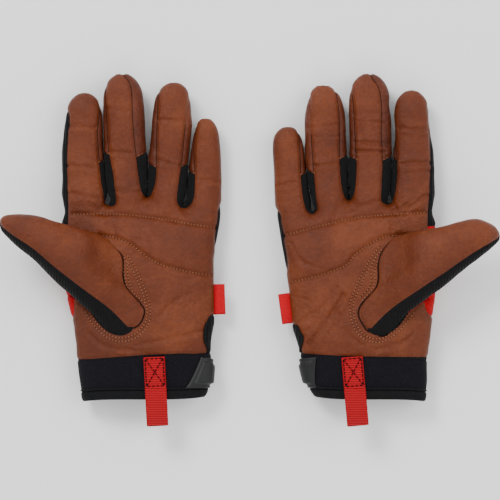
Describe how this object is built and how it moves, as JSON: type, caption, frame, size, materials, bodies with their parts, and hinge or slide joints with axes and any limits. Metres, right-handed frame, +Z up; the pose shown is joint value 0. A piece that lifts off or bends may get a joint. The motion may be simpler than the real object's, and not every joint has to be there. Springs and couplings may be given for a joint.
{
  "type": "work gloves",
  "caption": "Leather-palmed work gloves lying palm up, with stretch backs, sewn finger stalls, wrist closure tabs and webbing pull loops.",
  "frame": {"origin": "middle of the pair's box, on the surface the gloves lie on", "axes": "+X across the pair from the left-hand picture glove to the right-hand one, +Y towards the fingertips, +Z up, out of the palms"},
  "size_m": [0.3704, 0.2608, 0.0542],
  "materials": {
    "leather": "fine pebbled grain, soft sheen",
    "fourchette": "fine grain, soft sheen",
    "knit": "ribbed stretch knit, matt",
    "gusset": "smooth stretch knit, matt",
    "cuff_knit": "smooth foam-backed knit, matt",
    "binding": "woven binding, matt",
    "strap": "stretch strap, matt",
    "accent": "stretch knit, matt",
    "label": "woven label, plain",
    "webbing": "ribbed grosgrain webbing",
    "rubber": "moulded rubber, satin",
    "foam": "closed foam, hidden under the leather"
  },
  "bodies": {
    "left_hand": {"left_palm_leather": "leather", "left_palm_pad": "foam", "left_back_panel": "knit", "left_thumb_side_panel": "accent", "left_cuff_band": "cuff_knit", "left_cuff_hem": "binding", "left_index_middle_gusset": "gusset", "left_middle_ring_gusset": "gusset", "left_ring_little_gusset": "gusset", "left_closure_strap": "strap", "left_loop_anchor": "webbing", "left_label_flag": "label"},
    "left_index": {"left_index_front": "leather", "left_index_back": "knit", "left_index_fourchette_outer": "fourchette"},
    "left_middle": {"left_middle_front": "leather", "left_middle_back": "knit", "left_middle_fourchette_thumb_side": "fourchette", "left_middle_fourchette_outer": "fourchette"},
    "left_ring": {"left_ring_front": "leather", "left_ring_back": "knit", "left_ring_fourchette_thumb_side": "fourchette", "left_ring_fourchette_outer": "fourchette"},
    "left_little": {"left_little_front": "leather", "left_little_back": "knit", "left_little_fourchette_thumb_side": "fourchette"},
    "left_thumb": {"left_thumb_front": "leather", "left_thumb_back": "knit"},
    "left_tab": {"left_closure_tab": "rubber"},
    "left_loop": {"left_pull_loop": "webbing"},
    "right_hand": {"right_palm_leather": "leather", "right_palm_pad": "foam", "right_back_panel": "knit", "right_thumb_side_panel": "accent", "right_cuff_band": "cuff_knit", "right_cuff_hem": "binding", "right_index_middle_gusset": "gusset", "right_middle_ring_gusset": "gusset", "right_ring_little_gusset": "gusset", "right_closure_strap": "strap", "right_loop_anchor": "webbing", "right_label_flag": "label"},
    "right_index": {"right_index_front": "leather", "right_index_back": "knit", "right_index_fourchette_outer": "fourchette"},
    "right_middle": {"right_middle_front": "leather", "right_middle_back": "knit", "right_middle_fourchette_thumb_side": "fourchette", "right_middle_fourchette_outer": "fourchette"},
    "right_ring": {"right_ring_front": "leather", "right_ring_back": "knit", "right_ring_fourchette_thumb_side": "fourchette", "right_ring_fourchette_outer": "fourchette"},
    "right_little": {"right_little_front": "leather", "right_little_back": "knit", "right_little_fourchette_thumb_side": "fourchette"},
    "right_thumb": {"right_thumb_front": "leather", "right_thumb_back": "knit"},
    "right_tab": {"right_closure_tab": "rubber"},
    "right_loop": {"right_pull_loop": "webbing"}
  },
  "joints": [
    {"name": "left_index_flex", "type": "hinge", "parent": "left_hand", "child": "left_index", "pos_m": [-0.1234, 0.03768, 0.02266], "axis": [1, -0.0077, 0], "range_deg": [0, 70]},
    {"name": "left_middle_flex", "type": "hinge", "parent": "left_hand", "child": "left_middle", "pos_m": [-0.0909, 0.03918, 0.02346], "axis": [0.9995, 0.0331, 0], "range_deg": [0, 70]},
    {"name": "left_ring_flex", "type": "hinge", "parent": "left_hand", "child": "left_ring", "pos_m": [-0.0619, 0.03768, 0.02266], "axis": [0.9975, -0.0704, 0], "range_deg": [0, 70]},
    {"name": "left_little_flex", "type": "hinge", "parent": "left_hand", "child": "left_little", "pos_m": [-0.0327, 0.03218, 0.02106], "axis": [0.9998, -0.0219, 0], "range_deg": [0, 70]},
    {"name": "left_thumb_lift", "type": "hinge", "parent": "left_hand", "child": "left_thumb", "pos_m": [-0.08487, -0.04252, 0.02934], "axis": [0.5026, 0.8645, 0], "range_deg": [0, 30]},
    {"name": "left_tab_open", "type": "hinge", "parent": "left_hand", "child": "left_tab", "pos_m": [-0.02952, -0.09172, 0.01387], "axis": [0, 1, 0], "range_deg": [0, 90]},
    {"name": "left_loop_flex", "type": "hinge", "parent": "left_hand", "child": "left_loop", "pos_m": [-0.07225, -0.10232, 0.0272], "axis": [-1, 0, 0], "range_deg": [0, 110]},
    {"name": "right_glove_lift", "type": "slide", "parent": "left_hand", "child": "right_hand", "axis": [0, 0, 1], "range_m": [0, 0.15]},
    {"name": "right_index_flex", "type": "hinge", "parent": "right_hand", "child": "right_index", "pos_m": [0.1204, 0.03768, 0.02266], "axis": [1, 0.0076, 0], "range_deg": [0, 70]},
    {"name": "right_middle_flex", "type": "hinge", "parent": "right_hand", "child": "right_middle", "pos_m": [0.0879, 0.03918, 0.02346], "axis": [1, 0.0022, 0], "range_deg": [0, 70]},
    {"name": "right_ring_flex", "type": "hinge", "parent": "right_hand", "child": "right_ring", "pos_m": [0.0597, 0.03718, 0.02266], "axis": [0.9966, 0.0829, 0], "range_deg": [0, 70]},
    {"name": "right_little_flex", "type": "hinge", "parent": "right_hand", "child": "right_little", "pos_m": [0.0303, 0.03068, 0.02106], "axis": [0.9991, 0.0433, 0], "range_deg": [0, 70]},
    {"name": "right_thumb_lift", "type": "hinge", "parent": "right_hand", "child": "right_thumb", "pos_m": [0.08259, -0.04121, 0.02934], "axis": [0.4281, -0.9037, 0], "range_deg": [0, 30]},
    {"name": "right_tab_open", "type": "hinge", "parent": "right_hand", "child": "right_tab", "pos_m": [0.03776, -0.09172, 0.01387], "axis": [0, -1, 0], "range_deg": [0, 90]},
    {"name": "right_loop_flex", "type": "hinge", "parent": "right_hand", "child": "right_loop", "pos_m": [0.0774, -0.10232, 0.0272], "axis": [-1, 0, 0], "range_deg": [0, 110]}
  ]
}
